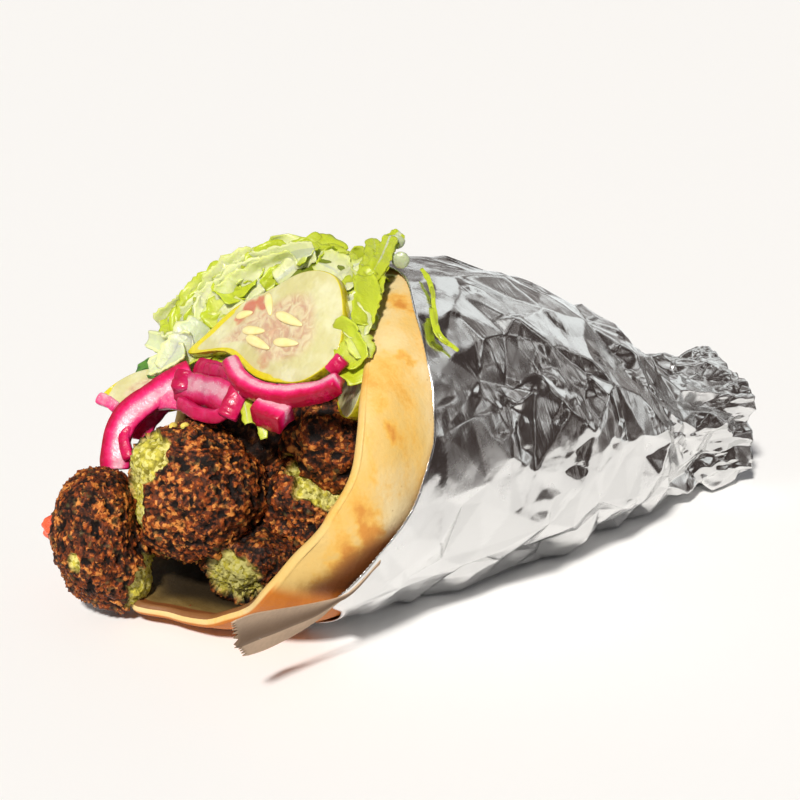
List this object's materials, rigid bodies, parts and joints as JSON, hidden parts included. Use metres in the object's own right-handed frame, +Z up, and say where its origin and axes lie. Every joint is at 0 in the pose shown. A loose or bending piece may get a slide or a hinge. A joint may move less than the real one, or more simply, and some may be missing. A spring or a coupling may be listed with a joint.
{
  "type": "falafel pita wrap in foil",
  "caption": "Flatbread pocket of falafel, pickled onion, sliced pickle and shredded lettuce, rolled in crumpled paper-backed foil with a twisted tail, lying on its side",
  "frame": {"origin": "bottom centre of the bounding box, on the table that the wrap lies on", "axes": "+X runs along the wrap from its open mouth to its foil tail, +Y is the far side, +Z is up"},
  "size_m": [0.2412, 0.1186, 0.1076],
  "materials": {
    "foil": "bright crumpled kitchen foil",
    "bread": "soft matte flatbread with toasted patches",
    "falafel": "rough deep-fried crumb crust, slightly oily",
    "onion": "wet pickled red onion, magenta skin and pale pink flesh",
    "pickle": "wet translucent pickle with a green rind",
    "lettuce": "crisp thin leaf with a soft sheen",
    "lettuce_rib": "moist pale translucent rib",
    "tomato": "wet tomato flesh"
  },
  "bodies": {
    "root": {"foil_wrap": "foil", "pita": "bread", "falafel_centre": "falafel", "falafel_left": "falafel", "falafel_right": "falafel", "falafel_upper": "falafel", "falafel_lower": "falafel", "falafel_back": "falafel", "onion_long": "onion", "onion_front": "onion", "onion_middle": "onion", "onion_chunk": "onion", "onion_behind": "onion", "onion_end": "onion", "pickle_front": "pickle", "pickle_back": "pickle", "pickle_side": "pickle", "lettuce_heap": "lettuce", "rib_chunk": "lettuce_rib", "tomato_piece": "tomato"}
  },
  "joints": []
}
